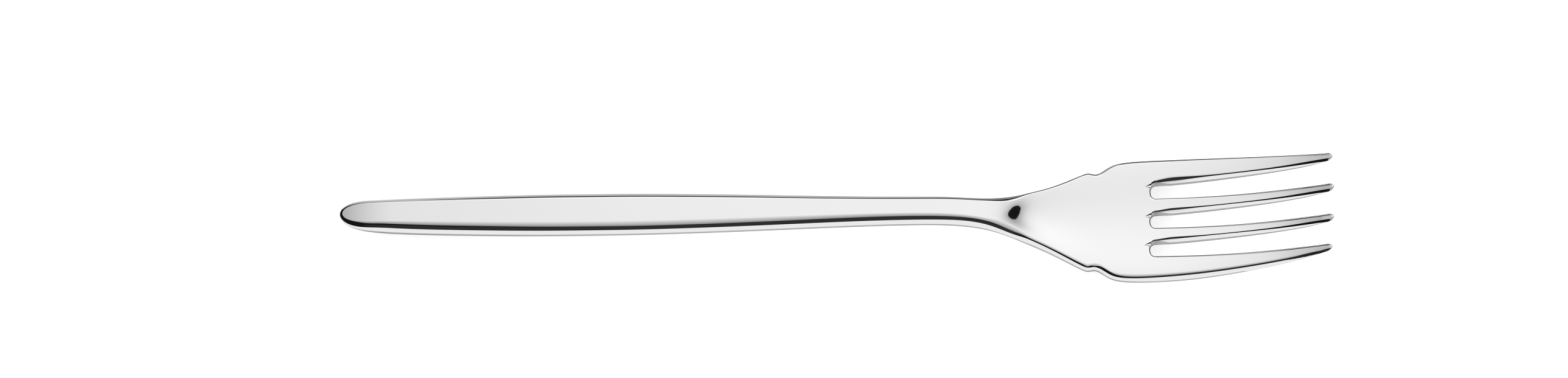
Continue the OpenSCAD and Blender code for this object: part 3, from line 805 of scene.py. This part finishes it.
class Tree:
    """Node tree of a material or world, emptied and filled again."""

    def __init__(self, owner):
        owner.use_nodes = True
        self.nodes = owner.node_tree.nodes
        self.links = owner.node_tree.links
        self.nodes.clear()

    def node(self, kind, settings=None, sockets=None, output=0):
        """Adds a node of a kind, sets its settings, fills its sockets and returns one output."""
        made = self.nodes.new(kind)
        for name, value in (settings or {}).items():
            setattr(made, name, value)
        for name, value in (sockets or {}).items():
            if isinstance(value, Value):
                self.links.new(value.socket, made.inputs[name])
            else:
                made.inputs[name].default_value = value
        return Value(self, made.outputs[output]) if made.outputs else None

    def place(self):
        """Place in the object's own coordinates."""
        return self.node("ShaderNodeTexCoord", output="Object")

    def place_along(self, axis):
        """Place along one axis."""
        return self.node("ShaderNodeSeparateXYZ", sockets={0: self.place()}, output=axis)

    def step(self, value, span, first=0.0, last=1.0, soft=True):
        """Step from a first to a last value while another value goes through a span."""
        kind = "SMOOTHSTEP" if soft else "LINEAR"
        return self.node("ShaderNodeMapRange", {"interpolation_type": kind}, {
            "Value": value,
            "From Min": span[0],
            "From Max": span[1],
            "To Min": first,
            "To Max": last,
        })

    def noise(self, stretch, detail):
        """Noise that repeats about as often in a metre, along each axis, as the stretch says."""
        place = self.node("ShaderNodeVectorMath", {"operation": "MULTIPLY"}, {0: self.place(), 1: stretch})
        return self.node("ShaderNodeTexNoise", sockets={"Vector": place, "Scale": 1.0, "Detail": detail})

    def glow(self, strength):
        """White light of a strength."""
        return self.node("ShaderNodeEmission", sockets={"Color": WHITE, "Strength": strength})


def new_material(name, shade):
    """Material with the shader that a function makes in its node tree."""
    material = bpy.data.materials.new(name)
    tree = Tree(material)
    tree.node("ShaderNodeOutputMaterial", sockets={"Surface": shade(tree)})
    return material


def steel_material(finish):
    """Mirror-polished steel, with faint lines along the fork, and a rougher strip on the lower edges whose
    colour is darkened by painted shade.
    """
    def shade(tree):
        lines = tree.noise(LINE_STRETCH, detail=3.0)
        clouds = tree.noise(CLOUD_STRETCH, detail=4.0)
        scratches = tree.step(tree.noise(SCRATCH_STRETCH, detail=2.0), SCRATCH_SPAN, soft=False)
        strip = tree.node("ShaderNodeAttribute", {"attribute_name": STRIP}, output="Fac")
        # Painted shade: the strip's colour is darkened to stand in for the shaded table under the fork that the
        # lower edges mirror; the polishing lines are the steel's own grain
        tone = (1 - finish.grain * lines * clouds) * (1 - strip * (1 - finish.strip_painted_shade))
        polish = finish.roughness + finish.wear * scratches * clouds
        toned = tree.node("ShaderNodeMix", {"data_type": "RGBA"}, {
            "Factor": tone,
            6: BLACK,
            7: (*finish.steel, 1),
        }, 2)
        return tree.node("ShaderNodeBsdfPrincipled", sockets={
            "Base Color": toned,
            "Metallic": 1.0,
            "Roughness": polish + strip * (finish.satin - polish),
        })

    return new_material(STEEL, shade)


def polish(context, node, grid, tine=0):
    """Builds the piece that stands for a node, over its grid of places, in the one steel of the fork."""
    shape = ForkShape(context.scene.fork_sizes)
    steel = bpy.data.materials.get(STEEL) or steel_material(context.scene.fork_finish)
    polished_piece(node, shape, *grid(shape), steel, tine)


class FORK_OT_handle(bpy.types.Operator):
    """Builds the polished handle"""

    bl_idname = "fork.handle"
    bl_label = "Handle"

    def execute(self, context):
        polish(context, "handle", handle_grid)
        return {"FINISHED"}


class FORK_OT_neck(bpy.types.Operator):
    """Builds the polished neck"""

    bl_idname = "fork.neck"
    bl_label = "Neck"

    def execute(self, context):
        polish(context, "neck", neck_grid)
        return {"FINISHED"}


class FORK_OT_palm(bpy.types.Operator):
    """Builds the polished palm"""

    bl_idname = "fork.palm"
    bl_label = "Palm"

    def execute(self, context):
        polish(context, "palm", palm_grid)
        return {"FINISHED"}


class FORK_OT_tines(bpy.types.Operator):
    """Builds the four polished tines"""

    bl_idname = "fork.tines"
    bl_label = "Tines"

    def execute(self, context):
        for tine in range(1, TINES + 1):
            polish(context, f"tine_{tine}", partial(tine_grid, tine=tine), tine)
        return {"FINISHED"}


class FORK_OT_stage(bpy.types.Operator):
    """Builds the floor, the light and the camera"""

    bl_idname = "fork.stage"
    bl_label = "Stage"

    def execute(self, context):
        stage = context.scene.fork_stage
        make_floor(stage)
        make_world(context.scene, stage)
        make_lights(stage)
        make_camera(context.scene, stage)
        context.scene.view_settings.view_transform = "Standard"
        return {"FINISHED"}


def stage_sheet(name, corners, material):
    """Flat piece of the stage between four corners."""
    sheet = new_mesh(name, np.array(corners), np.array([[0, 1, 2], [0, 2, 3]]))
    sheet.data.materials.append(material)
    return sheet


def make_floor(stage):
    """Wide white table: diffuse, with a part of its white shown plainly, so that its shadows stay soft.

    The steel shows it darker behind the fork, mostly by the head, and close under the fork.
    """
    def shade(tree):
        rays = "Is Camera Ray", "Is Glossy Ray", "Is Transmission Ray"
        seen, shown, through = (tree.node("ShaderNodeLightPath", output=ray) for ray in rays)
        behind = tree.step(tree.place_along("Y"), SHADE_BEHIND)
        beside_head = tree.step(tree.place_along("X"), SHADE_ALONG, HANDLE_SHADE)
        open_share = tree.node("ShaderNodeAmbientOcclusion", {"samples": CONTACT_RAYS}, {
            "Distance": stage.contact_reach,
        }, "AO")
        close = tree.step(1 - open_share, CONTACT_SPAN)
        mirrored = (1 - behind * beside_head * stage.table_shade) * (1 - close * stage.contact_shade)
        plain = tree.glow((seen + through) * stage.table_glow + shown * mirrored * stage.mirrored)
        lit = tree.node("ShaderNodeBsdfDiffuse", sockets={"Color": stage.table * (1 - shown)})
        return tree.node("ShaderNodeAddShader", sockets={0: plain, 1: lit})

    reach = TABLE_REACH
    corners = [[-reach, -reach, 0], [reach, -reach, 0], [reach, reach, 0], [-reach, reach, 0]]
    stage_sheet("floor", corners, new_material("white_table", shade))


def make_world(scene, stage):
    """Even white surroundings, which light the table by the fill."""
    world = bpy.data.worlds.new("studio")
    tree = Tree(world)
    diffuse = tree.node("ShaderNodeLightPath", output="Is Diffuse Ray")
    strength = 1 - diffuse * (1 - stage.fill)
    shader = tree.node("ShaderNodeBackground", sockets={"Color": WHITE, "Strength": strength})
    tree.node("ShaderNodeOutputWorld", sockets={"Surface": shader})
    scene.world = world


def make_card(name, corners, strength):
    """Flat glowing card, hidden from the camera."""
    card = stage_sheet(name, corners, new_material(name, lambda tree: tree.glow(strength(tree))))
    card.visible_camera = False
    card.visible_shadow = False


def make_lights(stage):
    """Softbox over the fork, a card behind its left side, and dark walls that only the steel shows."""
    left, right, high = -stage.softbox_left, stage.softbox_right, stage.softbox_height
    front, middle, back = -stage.softbox_front, stage.softbox_middle, stage.softbox_back
    axis = stage.softbox_axis

    def softbox_glow(tree):
        """Brightness inside a rim: 1 less a share of the way to it.

        The way is a power of the share along the fork plus the share across, both taken from the middle.
        Towards the tips it dims by twice that power, so only close to the rim.
        """
        x, y = tree.place_along("X"), tree.place_along("Y")
        leftwards, rightwards = (((x - axis) / (rim - axis)).at_least(0.0) for rim in (left, right))
        across = ((middle - y) / (middle - front)).at_least((y - middle) / (back - middle))
        power = stage.softbox_power
        within = leftwards ** power + rightwards ** power + across < 1
        way = leftwards ** power + rightwards ** (2 * power) + across
        return stage.side_glow + within * stage.softbox_glow * (1 - stage.softbox_falloff * way)

    def wall_glow(tree):
        """Glow of the walls, by the squared distance to the sides."""
        x = tree.place_along("X")
        return tree.glow(tree.step(x * x, WALL_SPAN, stage.wall_glow, stage.side_glow))

    corners = [[left, front, high], [left, back, high], [right, back, high], [right, front, high]]
    make_card("softbox", corners, softbox_glow)
    near, far = -stage.back_card_left, BACK_CARD_END
    corners = [[far, back, high], [far, back, 0], [near, back, 0], [near, back, high]]
    make_card("back_card", corners, lambda tree: stage.back_glow)
    walls = dome("dark_walls", WALL_RADIUS)
    walls.data.materials.append(new_material("dark_walls", wall_glow))
    walls.visible_camera = False
    walls.visible_diffuse = False
    walls.visible_shadow = False
    walls.visible_transmission = False


def dome(name, radius, turns=64, rises=16):
    """Half sphere over the table, from the angle round it and the angle up from its rim."""
    around, up = np.linspace(0, 2 * np.pi, turns + 1), np.linspace(0, np.pi / 2, rises + 1)
    turn, rise = np.meshgrid(around, up, indexing="ij")
    points = radius * np.stack([np.cos(turn) * np.cos(rise), np.sin(turn) * np.cos(rise), np.sin(rise)], -1)
    index = np.arange(turn.size).reshape(turn.shape)
    return new_mesh(name, points.reshape(-1, 3), grid_triangles(index))


def make_camera(scene, stage):
    """Camera that looks down on the fork from the front."""
    camera = bpy.data.cameras.new("camera")
    camera.lens = stage.lens
    distance = stage.frame_width * stage.lens / camera.sensor_width
    obj = bpy.data.objects.new("camera", camera)
    turn = Euler((math.pi / 2 - stage.elevation, 0, stage.azimuth)).to_matrix()
    turn = turn @ Euler((0, 0, stage.roll)).to_matrix()
    obj.location = Vector(AIM) + turn @ Vector((0, 0, distance))
    obj.rotation_euler = turn.to_euler()
    camera.clip_start = CLIP_START
    camera.clip_end = CLIP_END
    scene.collection.objects.link(obj)
    scene.camera = obj


class FORK_PT_panel(bpy.types.Panel):
    """Lists the fork's sizes, finish and pieces"""

    bl_label = "Fish Fork"
    bl_idname = "FORK_PT_panel"
    bl_space_type = "VIEW_3D"
    bl_region_type = "UI"
    bl_category = "Fork"

    def draw(self, context):
        for group in (context.scene.fork_sizes, context.scene.fork_finish, context.scene.fork_stage):
            box = self.layout.box()
            for name in group.__annotations__:
                box.prop(group, name)
        for operator in OPERATORS:
            self.layout.operator(operator.bl_idname)


OPERATORS = (FORK_OT_handle, FORK_OT_neck, FORK_OT_palm, FORK_OT_tines, FORK_OT_stage)
CLASSES = (ForkSizes, ForkFinish, ForkStage, *OPERATORS, FORK_PT_panel)


def register():
    """Adds the classes and the fork's groups of settings."""
    for cls in CLASSES:
        bpy.utils.register_class(cls)
    bpy.types.Scene.fork_sizes = PointerProperty(type=ForkSizes)
    bpy.types.Scene.fork_finish = PointerProperty(type=ForkFinish)
    bpy.types.Scene.fork_stage = PointerProperty(type=ForkStage)


def unregister():
    """Takes them away again."""
    del bpy.types.Scene.fork_stage
    del bpy.types.Scene.fork_finish
    del bpy.types.Scene.fork_sizes
    for cls in reversed(CLASSES):
        bpy.utils.unregister_class(cls)


def main():
    """Registers the add-on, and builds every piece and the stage."""
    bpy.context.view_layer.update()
    register()
    bpy.ops.fork.handle()
    bpy.ops.fork.neck()
    bpy.ops.fork.palm()
    bpy.ops.fork.tines()
    bpy.ops.fork.stage()


if __name__ == "__main__":
    main()
